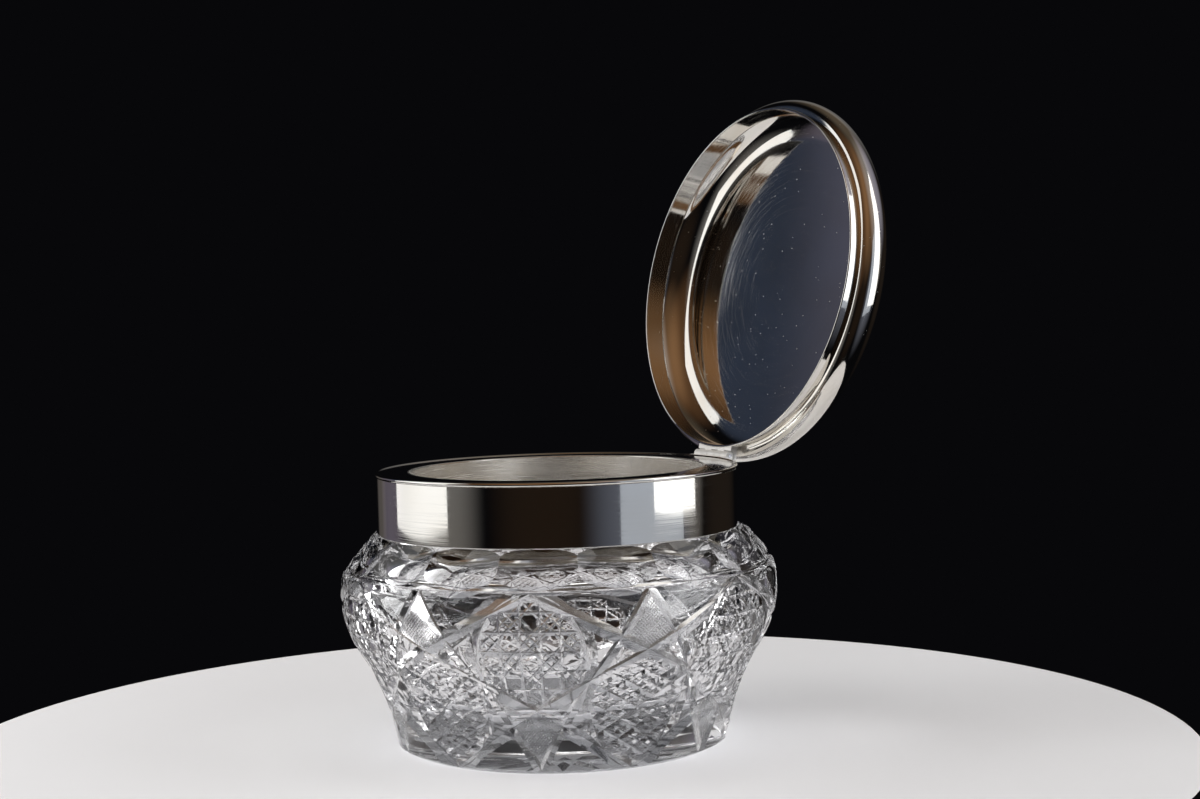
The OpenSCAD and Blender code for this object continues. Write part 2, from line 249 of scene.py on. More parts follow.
def spun(outline, count):
    """Outline carried round the Z axis: (r, z) goes to (r cos a, r sin a, z) for every angle a."""
    a = np.linspace(0, 2 * np.pi, count, endpoint=False)
    return np.stack([np.outer(np.cos(a), outline[:, 0]), np.outer(np.sin(a), outline[:, 0]),
                     np.broadcast_to(outline[:, 1], (count, len(outline)))], 2).reshape(-1, 3)


def turned(name, outline, count, closed, place=None):
    """Outline with normals turned about the Z axis. The UV map holds the way round and the way along the outline,
    both in millimetres."""
    profile, normal = outline
    points, facing = spun(profile, count), spun(normal, count)
    faces, (i, j) = grid_faces(count, len(profile), True, closed, profile[:, 0] < 1e-6)
    steps = np.linalg.norm(np.diff(np.vstack([profile, profile[:1]]), axis=0), axis=1)
    along = np.r_[0, np.cumsum(steps)]
    round_step = 2 * np.pi * profile[:, 0].max() / count
    u = np.stack([i, i + 1, i + 1, i], 1) * round_step
    v = along[np.stack([j, j, j + 1, j + 1], 1)]
    if place is not None:
        points, facing = place(points), place(facing, direction=True)
    return put_mesh(name, points, faces, np.stack([u, v], 2), facing)


# %% [markdown]
# ## The blank of the bowl
#
# Before it is cut, the bowl is a plain turned shape: foot, hollow flare, round belly, a cove and a ledge above it, a
# rounded shoulder and a neck that the collar hides. The inside is a smooth hollow with a dished floor. Outside and
# inside are one closed outline, because light bends at both walls of real glass. A Solidify modifier would give a
# wall of even thickness, but here the inside has a form of its own: the floor is thick and the ledge is solid.

# %% Outline of the blank
foot_r = float(body_radius(0.0)) - FOOT_BACK
cove_r = float(body_radius(PATTERN_TOP)) - COVE_DEPTH
EDGE_IN = 0.4
shoulder_x = LEDGE_R - EDGE_IN - np.sqrt(SHOULDER_ARC**2 - SHOULDER_DROP**2)
shoulder_z = LEDGE_Z - SHOULDER_DROP
shelf_z = BAND_LOW - HAIR
neck_r = NECK_R - HAIR
neck_top = NECK_TOP - HAIR
throat_r = SLEEVE_R + HAIR

# the corner of the inside is an arc that touches the flare's arc from outside and the dish's arc from inside, so its
# centre lies where two circles round their centres cross
hollow_x = HOLLOW_R - HOLLOW_ARC
hollow_a = np.arcsin((HOLLOW_Z - HOLLOW_JOIN) / HOLLOW_ARC)
hollow_fx = hollow_x + (HOLLOW_ARC + HOLLOW_FLARE) * np.cos(hollow_a)
hollow_fz = HOLLOW_Z - (HOLLOW_ARC + HOLLOW_FLARE) * np.sin(hollow_a)
gap = np.hypot(hollow_fx, FLOOR_T + DISH - hollow_fz)
reach = ((DISH - CORNER) ** 2 - (HOLLOW_FLARE + CORNER) ** 2 + gap**2) / (2 * gap)
aside = np.sqrt((DISH - CORNER) ** 2 - reach**2)
corner_x = (hollow_fx * reach + (hollow_fz - FLOOR_T - DISH) * aside) / gap
corner_z = FLOOR_T + DISH + ((hollow_fz - FLOOR_T - DISH) * reach - hollow_fx * aside) / gap


def angle_to(x, z, cx, cz):
    """Angle in degrees of the direction from a centre to a point."""
    return float(np.degrees(np.arctan2(z - cz, x - cx)))


body_z = np.linspace(FOOT_EDGE, PATTERN_TOP, 31)
rim_points = arc([LEDGE_R - LEDGE_ROUND, LEDGE_Z - 0.2], LEDGE_ROUND, -90, 62, 10)[0]
shoulder_top = np.degrees(np.arcsin((shelf_z - shoulder_z) / SHOULDER_ARC))
shoulder_start = np.degrees(np.arcsin((rim_points[-1][1] - shoulder_z) / SHOULDER_ARC))
shoulder_points = arc([shoulder_x, shoulder_z], SHOULDER_ARC, shoulder_start + 3, shoulder_top, 11)[0]
hollow_top = np.degrees(np.arccos((throat_r - hollow_x) / HOLLOW_ARC))
hollow_low = -np.degrees(hollow_a)
touch_flare = angle_to(corner_x, corner_z, hollow_fx, hollow_fz)
touch_floor = angle_to(corner_x, corner_z, 0, FLOOR_T + DISH)
blank = np.concatenate([
    between(0, 0, foot_r, 0, 4),
    np.stack([body_radius(body_z), body_z], 1),
    between(cove_r + 0.3, PATTERN_TOP, cove_r, PATTERN_TOP + 0.4),
    between(cove_r, PATTERN_TOP + 1.2, cove_r + 0.5, LEDGE_Z - 1.4),
    rim_points,
    shoulder_points,
    between(neck_r, shelf_z, neck_r, neck_top, 3),
    between(throat_r, neck_top, throat_r, HOLLOW_Z + HOLLOW_ARC * np.sin(np.radians(hollow_top)), 3),
    arc([hollow_x, HOLLOW_Z], HOLLOW_ARC, hollow_top, hollow_low, 20)[0][1:],
    arc([hollow_fx, hollow_fz], HOLLOW_FLARE, 180 - np.degrees(hollow_a), touch_flare, 6)[0][1:],
    arc([corner_x, corner_z], CORNER, touch_flare - 180, touch_floor, 12)[0],
    arc([0, FLOOR_T + DISH], DISH, touch_floor, -90, 10)[0][1:],
])
print("outline of the blank:", len(blank), "points; inside corner at", round(corner_x, 2), round(corner_z, 2))

# %% Turn the blank
# steps round the axis: more would look no finer, and the cut bowl has to stay under 200,000 triangles
BLANK_STEPS = 162

# the outline starts and ends on the axis, and each end becomes one point there
bowl_faces = grid_faces(BLANK_STEPS, len(blank), True, False, blank[:, 0] < 1e-6)[0]
bowl = put_mesh("crystal_bowl", spun(blank, BLANK_STEPS), bowl_faces)
print("blank:", len(bowl.data.vertices), "points,", len(bowl.data.polygons), "faces")

# %% [markdown]
# ## The cutting wheel
#
# A cutter grinds each line with a wheel whose edge is a V. So each cut here is a V section carried along a path on
# the body and then taken away from the blank. A path is given by the angle round the bowl and the height, and the
# section stands square to the surface all the way, with its keel at a depth that may change along the path. The cuts
# could be painted as bump, but glass shows them from inside as well, and only real walls bend the light twice.

# %% One wheel for all cuts
# for each kind of cut: depth in mm, half the angle of the V in degrees, and how far the bar stands out of the glass
WHEELS = {
    "long": (1.3, 62, 0.4), "bow": (1.0, 62, 0.4), "leg": (0.95, 60, 0.4), "blade": (1.5, 60, 0.4),
    "cane": (0.6, 54, 0.25), "cane_pair": (0.45, 52, 0.2),
    "hobnail": (0.95, 52, 0.3), "hobnail_fine": (0.42, 50, 0.2), "hobnail_level": (0.38, 50, 0.2),
    "hatch": (0.27, 50, 0.15),
}
cutters = bpy.data.collections.new("cutters")
bpy.context.scene.collection.children.link(cutters)


def cutter(name, points, faces):
    """New mesh to be taken from the blank, from points in millimetres."""
    mesh = bpy.data.meshes.new(name)
    mesh.from_pydata((points.reshape(-1, 3) * MM).tolist(), [], faces)
    mesh.shade_smooth()
    cutters.objects.link(bpy.data.objects.new(name, mesh))
    return mesh


def v_bars(name, angle, height, depth, half_angle, over):
    """Bars with a V section, one for each row of angle and height (degrees, mm). At each point of a path the section
    is a triangle in the plane across the path: its keel is the depth below the surface, its top is over above it."""
    angle, height = np.broadcast_arrays(np.radians(np.atleast_2d(angle)), np.atleast_2d(height))
    depth = np.broadcast_to(depth, angle.shape)
    radius, slope = body_radius(height), body_slope(height)
    point = np.stack([radius * np.cos(angle), radius * np.sin(angle), height], 2)
    out = np.stack([np.cos(angle), np.sin(angle), -slope], 2)
    out /= np.linalg.norm(out, axis=2, keepdims=True)
    along = np.gradient(point, axis=1)
    along -= (along * out).sum(2, keepdims=True) * out
    along /= np.linalg.norm(along, axis=2, keepdims=True)
    side = np.cross(out, along)
    half = ((depth + over) * np.tan(np.radians(half_angle)))[:, :, None]
    keel = point - out * depth[:, :, None]
    left, right = point + out * over - side * half, point + out * over + side * half
    bars, steps = angle.shape
    base = (np.arange(bars)[:, None] * steps + np.arange(steps - 1)[None, :]).ravel() * 3
    walls = np.concatenate([np.stack([base + p, base + q, base + 3 + q, base + 3 + p], 1)
                            for p, q in ((0, 2), (2, 1), (1, 0))])
    first = np.arange(bars) * steps * 3
    last = first + (steps - 1) * 3
    caps = np.concatenate([np.stack([first, first + 1, first + 2], 1), np.stack([last, last + 2, last + 1], 1)])
    cutter(name, np.stack([keel, left, right], 2), walls.tolist() + caps.tolist())


def path(a0, z0, a1, z1, steps, before=0.0, after=0.0):
    """Straight path on the unrolled body from (a0, z0) to (a1, z1), longer at both ends by shares of its length."""
    t = np.linspace(-before, 1 + after, steps)
    a0, z0, a1, z1 = (np.atleast_1d(np.asarray(v, float))[:, None] for v in (a0, z0, a1, z1))
    return a0 + (a1 - a0) * t, z0 + (z1 - z0) * t


# %% [markdown]
# ## The large pattern
#
# Six times round the body, two long mitre cuts start from one point at the top edge and run down to the foot a
# quarter turn away, one to each side. Where they cross, tall ovals and their mirror images fit between them: one half
# of each has straight sides, the other is bowed. This is a common layout of cut glass from about 1900. It is worked
# out on the unrolled body, where a mitre is a straight line, and the wheel lays it round the bowl.

# %% Layout
REPEATS = 6
# turns the pattern to where it stands on the jar, in degrees
PATTERN_TURN = -7.1
pitch = 360 / REPEATS
upper = 90 + PATTERN_TURN + pitch * np.arange(REPEATS)
lower = upper + pitch / 2
middle_z = (PATTERN_TOP + PATTERN_LOW) / 2
half_z = (PATTERN_TOP - PATTERN_LOW) / 2
oval_a = pitch / 4
cross_low, cross_high = PATTERN_LOW + half_z * 2 / 3, PATTERN_TOP - half_z * 2 / 3
print("top points at", np.round(upper, 1).tolist(), "crossings at heights", cross_low, cross_high)

# %% Long mitres
for way in (-1, 1):
    a, z = path(upper, PATTERN_TOP, upper + way * 1.5 * pitch, PATTERN_LOW, 32, 0.01, 0.01)
    v_bars(f"long_{way}", a, z, *WHEELS["long"])

# %% Sides of the ovals
for way in (-1, 1):
    for up, tops in ((1, upper), (-1, lower)):
        tip_z, far_z = middle_z + up * half_z, middle_z - up * half_z
        s = np.linspace(0.02, 1.02, 16)
        bow = oval_a * s * (1.5 - 0.5 * s**2)
        z = np.tile(tip_z - up * half_z * s**2, (REPEATS, 1))
        v_bars(f"bow_{way}_{up}", tops[:, None] + way * bow, z, *WHEELS["bow"])
        a, z = path(tops, far_z, tops + way * oval_a, middle_z, 11, 0.02, 0.02)
        v_bars(f"leg_{way}_{up}", a, z, *WHEELS["leg"])

# %% Blades that stand on the crossings of the ovals, deepest near the crossing and running out at both ends
BLADE_LONG, BLADE_STEPS = 19.0, 18
crossings_a = np.concatenate([upper - oval_a, upper + oval_a])
share = np.linspace(0, 1, BLADE_STEPS)
deepest, half_angle, over = WHEELS["blade"]
blade_depth = deepest * np.sin(np.pi * share) ** 0.8 * (1 - 0.35 * share) - 0.05
for up in (-1, 1):
    a, z = path(crossings_a, middle_z, crossings_a, middle_z + up * BLADE_LONG, BLADE_STEPS)
    v_bars(f"blade_{up}", a, z, blade_depth, half_angle, over)


# %% [markdown]
# ## The fine cutting
#
# The ovals and the small kites are filled with rows of finer cuts. Each row is a set of parallel lines, so a region
# is described by its half width at each height, and a line is kept only where it runs inside. A cutter works in the
# same way: the mitres are cut first, and the fine lines stop at them.

# %% Lines clipped to a region
# a line is looked at in so many places, and one that is inside for a smaller share of them is left out
SAMPLES, SHORTEST = 400, 0.03
# half the width in degrees that a level line is tried over, wider than any region
TRIED = 20


def clipped(offsets, slope, inside, centre, z_range, steps=8):
    """Straight lines a = offset + (z - z0) / slope on the unrolled body (level where slope is 0, upright where it is
    infinite), each cut to the part for which inside(a, z) holds. Lines that are too short are left out."""
    z0 = sum(z_range) / 2
    s = np.linspace(0, 1, SAMPLES)
    if slope == 0:
        line_a = np.tile(2 * TRIED * s - TRIED, (len(offsets), 1))
        line_z = np.repeat(np.asarray(offsets)[:, None], SAMPLES, 1)
    else:
        line_z = np.tile(z_range[0] + (z_range[1] - z_range[0]) * s, (len(offsets), 1))
        line_a = np.asarray(offsets)[:, None] + (line_z - z0) / slope
    held = inside(line_a, line_z)
    first = held.argmax(1)
    last = SAMPLES - 1 - held[:, ::-1].argmax(1)
    keep = held.any(1) & (last - first > SAMPLES * SHORTEST)
    rows = np.arange(len(offsets))[keep]
    first, last = first[keep], last[keep]
    a, z = path(line_a[rows, first], line_z[rows, first], line_a[rows, last], line_z[rows, last], steps)
    return np.concatenate([a + c for c in centre]), np.tile(z, (len(centre), 1))


def dome_inside(a, z):
    """Inside an oval whose bowed half is above: within the bow above the middle, within the mitres below it."""
    s = np.sqrt(np.clip((PATTERN_TOP - z) / half_z, 0, 1))
    above = oval_a * s * (1.5 - 0.5 * s**2)
    below = oval_a * (z - cross_low) / (middle_z - cross_low)
    return np.abs(a) < np.where(z >= middle_z, above, below)


def cup_inside(a, z):
    """The same oval standing on its head."""
    return dome_inside(a, 2 * middle_z - z)


# half the width of a kite in degrees, and how far its widest place lies from the crossing and from the foot in mm
KITE_HALF, KITE_TOP, KITE_TAIL = 7.5, 5.0, 15.0


def kite_inside(a, z):
    """Inside the small kite at the foot: mitres above, straight oval sides below."""
    above = KITE_HALF * (cross_low - z) / KITE_TOP
    below = KITE_HALF * (z - PATTERN_LOW) / KITE_TAIL
    return np.abs(a) < np.minimum(above, below)


def kite_flipped(a, z):
    """Inside the same kite at the top edge, standing on its head."""
    return kite_inside(a, 2 * middle_z - z)


# %% Cane cutting in the upper ovals: buttons in a lattice of level, upright and doubled slanting cuts
# a cell is so many millimetres high and degrees wide, one button stands at the top height, and the two lines of a
# pair lie apart from its middle by a share of a cell
CELL_Z, CELL_A, CANE_TOP, PAIR_APART = 6.5, 5.0, 52.0, 0.72
cane_z = CANE_TOP - CELL_Z / 2
rows = cane_z + CELL_Z * np.arange(-6, 2)
columns = CELL_A / 2 + CELL_A * np.arange(-4, 4)
z_range = (cross_low, PATTERN_TOP)
v_bars("cane_level", *clipped(rows, 0, dome_inside, upper, z_range), *WHEELS["cane"])
v_bars("cane_upright", *clipped(columns, np.inf, dome_inside, upper, z_range, steps=9), *WHEELS["cane"])
for way in (-1, 1):
    slope = way * CELL_Z / CELL_A
    start = (CANE_TOP - sum(z_range) / 2) / slope
    for pair in (-PAIR_APART, PAIR_APART):
        offsets = -start + CELL_A * (2 * np.arange(-6, 7) + pair)
        v_bars(f"cane_{way}_{pair}", *clipped(offsets, slope, dome_inside, upper, z_range, steps=7),
               *WHEELS["cane_pair"])

# %% Hobnail cutting in the lower ovals: long diamonds parallel to the mitres, each split again by finer cuts
mitre_slope = (PATTERN_TOP - PATTERN_LOW) / (1.5 * pitch)
# height of a diamond in mm
CUP_STEP = 6.67
z_range = (PATTERN_LOW, cross_high)
centre_z = sum(z_range) / 2
for way in (-1, 1):
    slope = way * mitre_slope
    shift = (centre_z - cross_high) / slope
    main = shift + CUP_STEP / mitre_slope * np.arange(-9, 10)
    for kind, offsets in (("hobnail", main), ("hobnail_fine", main + CUP_STEP / mitre_slope / 2)):
        v_bars(f"{kind}_{way}", *clipped(offsets, slope, cup_inside, lower, z_range, steps=7), *WHEELS[kind])
levels = cross_high - CUP_STEP / 2 * np.arange(1, 12)
v_bars("hobnail_level", *clipped(levels, 0, cup_inside, lower, z_range), *WHEELS["hobnail_level"])

# %% Hatching of the kites, with the lines as close as they still show
# degrees from line to line, which is about 1.1 mm; the real lines are closer
HATCH, HATCH_SLOPE = 0.95, 1.25
for name, inside, tops, z_range in (
        ("low", kite_inside, upper, (PATTERN_LOW, cross_low)),
        ("high", kite_flipped, lower, (cross_high, PATTERN_TOP))):
    for way in (-1, 1):
        offsets = HATCH * np.arange(-16, 17)
        for odd in (0, 1):
            lines = clipped(offsets[odd::2], way * HATCH_SLOPE, inside, tops, z_range, steps=4)
            v_bars(f"hatch_{name}_{way}_{odd}", *lines, *WHEELS["hatch"])

# %% [markdown]
# ## Scoops and star
#
# The shoulder is scooped by a round wheel, seventeen times, so each scoop is part of a ball. Under the base is a
# star of straight cuts. A whole ball for each scoop would do too, but only the part near the glass is ever used, and
# it alone gets the fine steps that a smooth scoop needs. Neighbours overlap, so they go into separate cutters.

# %% Scoops round the shoulder
SCOOPS, SCOOP_BALL, SCOOP_TILT, SCOOP_DEPTH = 17, 50.0, 40.0, 3.2
# angle in degrees at which the scoops start, how far a cap reaches from its pole, and its steps outwards and round
SCOOP_START, CAP_REACH, CAP_OUT, CAP_ROUND = 81.3, 26.0, 40, 72


def ball_caps(name, which):
    """Part of a ball round its pole, closed behind by a cone: (polar, turn) goes to the ball's surface, and the pole
    points down towards the glass."""
    polar = np.radians(np.concatenate([[0.0], np.linspace(0.4, CAP_REACH, CAP_OUT)]))
    turn = np.linspace(0, 2 * np.pi, CAP_ROUND, endpoint=False)
    local = SCOOP_BALL * np.stack([np.outer(np.sin(polar), np.cos(turn)), -np.outer(np.cos(polar), np.ones(CAP_ROUND)),
                                   np.outer(np.sin(polar), np.sin(turn))], 2)
    local[:, :, 1] += SHOULDER_ARC + SCOOP_BALL - SCOOP_DEPTH
    back = np.array([[0.0, SHOULDER_ARC + SCOOP_BALL - SCOOP_DEPTH, 0.0]])
    cap = np.concatenate([local[0, :1], local[1:].reshape(-1, 3), back])
    one_round = np.arange(CAP_ROUND)
    rings = 1 + np.arange(CAP_OUT - 1)[:, None] * CAP_ROUND + one_round
    beside = np.roll(rings, -1, 1)
    quads = np.stack([rings, rings + CAP_ROUND, beside + CAP_ROUND, beside], 2).reshape(-1, 4)
    first, last = 1 + one_round, 1 + (CAP_OUT - 1) * CAP_ROUND + one_round
    fans = np.concatenate([np.stack([0 * first, first, np.roll(first, -1)], 1),
                           np.stack([np.roll(last, -1), last, 0 * last + len(cap) - 1], 1)])
    cap = rotated(cap, SCOOP_TILT, 1, 2) + [0, shoulder_x, shoulder_z]
    points, faces = [], []
    for k in which:
        shift = len(cap) * len(points)
        points.append(rotated(cap, SCOOP_START - 90 + 180 / SCOOPS + k * 360 / SCOOPS, 0, 1))
        faces += (quads + shift).tolist() + (fans + shift).tolist()
    mesh = cutter(name, np.concatenate(points), faces)
    work = bmesh.new()
    work.from_mesh(mesh)
    bmesh.ops.recalc_face_normals(work, faces=work.faces)
    work.to_mesh(mesh)
    work.free()


ball_caps("scoops_even", range(0, SCOOPS - 1, 2))
ball_caps("scoops_odd", range(1, SCOOPS, 2))
ball_caps("scoops_last", [SCOOPS - 1])

# %% Star under the base
# the rays are deepest at their inner ends and run out before the ring that the jar stands on
STAR_RAYS, STAR_DEPTH, STAR_FROM, STAR_SHORT, STAR_OVER = 24, 1.6, 14.0, 7.0, 0.3
star_to = foot_r - STAR_SHORT
star_a = 90 + np.arange(STAR_RAYS) * 360 / STAR_RAYS
star_r = np.array([STAR_FROM - 0.2, star_to])
star_top = STAR_DEPTH * (star_to - star_r) / (star_to - STAR_FROM)
star_half = star_top + STAR_OVER
star_low = np.full(2, -STAR_OVER)
ray = np.stack([np.stack([star_r, half, height], 1) for half, height in (
    (0 * star_r, star_top), (star_half, star_low), (-star_half, star_low))], 1)
star = rotated(np.tile(ray, (STAR_RAYS, 1, 1, 1)), star_a[:, None, None], 0, 1)
base = (np.arange(STAR_RAYS) * 6)[:, None]
sides = ([0, 1, 4, 3], [1, 2, 5, 4], [2, 0, 3, 5], [0, 2, 1], [3, 4, 5])
cutter("star", star, sum([(base + np.array(f)).tolist() for f in sides], []))

# %% [markdown]
# All cutters are taken from the blank at once. Blender's Boolean modifier can take a whole collection, and its
# manifold solver does so in a few seconds, because every cutter and the blank are closed. The result goes into the
# mesh for good, and the cutters are thrown away.

# %% Take all cuts from the blank
# neighbouring faces that meet at more than so many degrees stay a crisp edge
CRISP = 14
cut = bowl.modifiers.new("cutting", "BOOLEAN")
cut.operation, cut.solver = "DIFFERENCE", "MANIFOLD"
cut.operand_type, cut.collection = "COLLECTION", cutters
bpy.context.view_layer.update()
view = bpy.context.evaluated_depsgraph_get()
cut_mesh = bpy.data.meshes.new_from_object(bowl.evaluated_get(view))
bowl.modifiers.clear()
bowl.data = cut_mesh
for thing in list(cutters.objects):
    bpy.data.objects.remove(thing)
bpy.data.collections.remove(cutters)
cut_mesh.shade_smooth()
cut_mesh.set_sharp_from_angle(angle=np.radians(CRISP))
print("cut bowl:", len(cut_mesh.vertices), "points,", len(cut_mesh.polygons), "faces,",
      sum(len(p.vertices) - 2 for p in cut_mesh.polygons), "triangles")
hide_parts("glass_bowl")
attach(bowl, "bowl")

# %% [markdown]
# ## The silver
#
# The collar, its ring and the lid are spun or rolled sheet with softly rounded edges. Those edges carry the thin
# bright lines that draw the lid's rim and the bead, so each one is a true arc. A Bevel modifier on the solids would
# round the edges as well, but their walls are made of flats, and a mirror shows every one of them.

# %% Collar, ring and throat
def silver_piece(name, node, outline, body, count=360, closed=True, place=None):
    """A turned silver piece that stands for a solid of the frame."""
    thing = turned(name, outline, count, closed, place)
    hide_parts(node)
    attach(thing, body)
    return thing


SHEET_T, BEAD_R = 0.8, 0.75
bead_x = RING_R - BEAD_R
bead_z = BEAD_TOP - BEAD_R
band = silver_piece("silver_collar", "collar_band",
                    tube(BAND_R - SHEET_T, BAND_R, BAND_LOW, BAND_TOP, [0.1, 0.3, 0.05, 0.05]), "bowl")
# the bead is a half round, and the flat of the ring meets it at this angle
top_angle = float(np.degrees(np.arcsin((RING_TOP - bead_z) / BEAD_R)))
touch_x = bead_x - BEAD_R * np.cos(np.radians(top_angle))
ring = silver_piece("silver_ring", "rim_ring", chain(
    straight(SLEEVE_R, BAND_TOP, bead_x, BAND_TOP, 0, -1),
    arc([bead_x, bead_z], BEAD_R, -90, 180 - top_angle, 40),
    straight(touch_x - 0.03, RING_TOP, SLEEVE_R + 0.02, RING_TOP, 0, 1),
    straight(SLEEVE_R, RING_TOP - 0.02, SLEEVE_R, BAND_TOP + 0.02, -1, 0),
), "bowl")
throat = silver_piece("silver_throat", "throat_sleeve",
                      tube(SLEEVE_R - SHEET_T, SLEEVE_R, SLEEVE_LOW, RING_TOP, [0.2, 0.2, 0.02, 0.45]), "bowl")

# %% [markdown]
# The lid is drawn closed and then turned back about the pin, as the frame stands. Its edge is rolled in under the
# side in a quarter round that ends at the bezel. The side bulges in an arc, goes over into a wider arc at the
# shoulder, and the crown on top is almost flat. The bright curves in the photograph show where one arc ends and the
# next begins, so the lid is a chain of arcs that meet without a kink. The inside is the same chain, one sheet deeper.

# %% Lid
# degrees from closed to the stop
LID_OPEN = 102.0
PIN_Y, PIN_Z = BAND_R + 3.5, BEAD_TOP
RIM_GAP, BEZEL_T, BEZEL_H, BEZEL_TOP = 0.15, 0.9, 3.4, 7.4
BEZEL_R = BAND_R + 0.7
LID_R, LID_H, LID_T = BEZEL_R + 4.4, 22.0, 1.0
BULGE_ARC, BULGE_TURN, SHOULDER_WIDE = 8.5, 32.0, 15.0
roll_x = BEZEL_R
bulge_z = BEZEL_H + LID_R - roll_x
bulge_x = LID_R - BULGE_ARC
shift = (SHOULDER_WIDE - BULGE_ARC) * np.array([np.cos(np.radians(BULGE_TURN)), np.sin(np.radians(BULGE_TURN))])
wide_x, wide_z = bulge_x - shift[0], bulge_z - shift[1]
crown_arc = (wide_x**2 + (LID_H - wide_z) ** 2 - SHOULDER_WIDE**2) / (2 * (LID_H - wide_z - SHOULDER_WIDE))
crown_turn = float(np.degrees(np.arctan2(wide_x, wide_z - LID_H + crown_arc)))


def opened(points, direction=False):
    """Turns what is drawn closed, with its rim on the ring, back about the pin by the opening angle."""
    if direction:
        return rotated(points, -LID_OPEN, 1, 2)
    return rotated(points + [0, -PIN_Y, RIM_GAP], -LID_OPEN, 1, 2) + [0, PIN_Y, PIN_Z]


bezel = silver_piece("silver_bezel", "lid_bezel",
                     tube(BEZEL_R - BEZEL_T, BEZEL_R, 0, BEZEL_TOP, [0.4, 0.4, 0.2, 0.3]), "lid", place=opened)
crown_z = LID_H - crown_arc
hole_r = BEZEL_R + 0.02


def lid_side(inset, side):
    """Rolled edge, bulge, shoulder and crown, one after the other, at a depth in the sheet."""
    return chain(
        arc([roll_x + 0.05, bulge_z], LID_R - roll_x - 0.05 - inset, -90, 0, 16, side),
        arc([bulge_x, bulge_z], BULGE_ARC - inset, 0, BULGE_TURN, 16, side),
        arc([wide_x, wide_z], SHOULDER_WIDE - inset, BULGE_TURN, 90 - crown_turn, 28, side),
        arc([0, crown_z], crown_arc - inset, 90 - crown_turn, 90, 20, side),
    )


inside = lid_side(LID_T, -1)
dome = silver_piece("silver_dome", "lid_dome", chain(
    lid_side(0, 1),
    (inside[0][::-1], inside[1][::-1]),
    straight(hole_r, BEZEL_H + LID_T - 0.03, hole_r, BEZEL_H + 0.03, -1, 0),
), "lid", place=opened)
print("crown arc", round(crown_arc, 1), "shoulder ends at", round(90 - crown_turn, 2), "degrees;",
      len(dome.data.polygons), "faces")

# %% [markdown]
# ## Finishes
#
# Two materials make the jar: lead glass and silver. Both are nearly colourless, so their look comes from how smooth
# they are. Each finish is a Principled shader whose roughness changes from place to place. A picture of the surface
# would do this too, but noise on the object's own coordinates needs no file, and it stays with the piece as it moves.
# The scale of a noise counts its waves for each metre, so 400 is a grain of 2.5 mm. The real grain of a wheel or a
# polishing cloth is far finer and would not show, so it is drawn coarser here.

# %% Colours and nodes
def linear(code):
    """sRGB hex to linear colour: the dark part is a straight line, the rest a power of 2.4."""
    c = np.array([int(code[k:k + 2], 16) for k in (1, 3, 5)]) / 255
    return (*np.where(c <= 0.04045, c / 12.92, ((c + 0.055) / 1.055) ** 2.4), 1.0)


def node(tree, kind, links=None, values=None, **settings):
    """Adds a node: settings are its properties, values are its inputs by name or number, and links name the inputs
    that another node's output feeds."""
    made = tree.nodes.new(kind)
    for key, value in settings.items():
        setattr(made, key, value)
    for key, value in (values or {}).items():
        made.inputs[key].default_value = value
    for key, source in (links or {}).items():
        tree.links.new(source, made.inputs[key])
    return made


def material(name, **values):
    """New material with a Principled shader, its values by name with _ for a space, and the object's coordinates."""
    made = bpy.data.materials.new(name)
    made.use_nodes = True
    tree = made.node_tree
    tree.nodes.clear()
    shader = node(tree, "ShaderNodeBsdfPrincipled", None, {key.replace("_", " "): v for key, v in values.items()})
    node(tree, "ShaderNodeOutputMaterial", {0: shader.outputs[0]})
    return made, tree, shader, node(tree, "ShaderNodeTexCoord")


def noise(tree, place, scale, detail):
    """Cloudy values from 0 to 1."""
    return node(tree, "ShaderNodeTexNoise", {"Vector": place}, {"Scale": scale, "Detail": detail}).outputs["Fac"]


def remap(tree, value, from_low, from_high, to_low, to_high):
    """Values stretched from one range to another and held inside it."""
    return node(tree, "ShaderNodeMapRange", {"Value": value}, {
        "From Min": from_low, "From Max": from_high, "To Min": to_low, "To Max": to_high}).outputs[0]


def blend(tree, share, first, second):
    """Colour between two colours."""
    return node(tree, "ShaderNodeMix", {"Factor": share}, {6: linear(first), 7: linear(second)},
                data_type="RGBA").outputs[2]


# %% [markdown]
# The bowl is lead crystal. It bends light more than window glass, which is why its cuts sparkle. After cutting it is
# polished with acid: the plain parts are clear, the walls of the cuts keep a trace of grain, and the finely hatched
# kites scatter so much light that they look like satin. So it gets three finishes of one kind, by face.

# %% Crystal
# how strongly lead glass bends light
LEAD_GLASS_IOR = 1.54


def crystal(name, rough_low, rough_high, grain=400.0):
    """Lead glass: clear where it is polished, and slightly matt where the wheel has left its grain."""
    made, tree, shader, place = material(
        name, Base_Color=linear("#FBFBFC"), Transmission_Weight=1.0, IOR=LEAD_GLASS_IOR)
    cloud = noise(tree, place.outputs["Object"], grain, 3.0)
    tree.links.new(remap(tree, cloud, 0.4, 0.75, rough_low, rough_high), shader.inputs["Roughness"])
    # lamps shine through the glass instead of leaving it in a black shadow of its own
    ray_kind = node(tree, "ShaderNodeLightPath")
    clear = node(tree, "ShaderNodeBsdfTransparent", None, {"Color": linear("#F6F6F7")})
    mix = node(tree, "ShaderNodeMixShader",
               {"Fac": ray_kind.outputs["Is Shadow Ray"], 1: shader.outputs[0], 2: clear.outputs[0]})
    tree.links.new(mix.outputs[0], tree.nodes["Material Output"].inputs[0])
    return made


bowl.data.materials.clear()
for finish in (crystal("polished_lead_crystal", 0.0, 0.01), crystal("cut_lead_crystal", 0.07, 0.15, 900.0),
               crystal("hatched_lead_crystal", 0.2, 0.3, 900.0)):
    bowl.data.materials.append(finish)

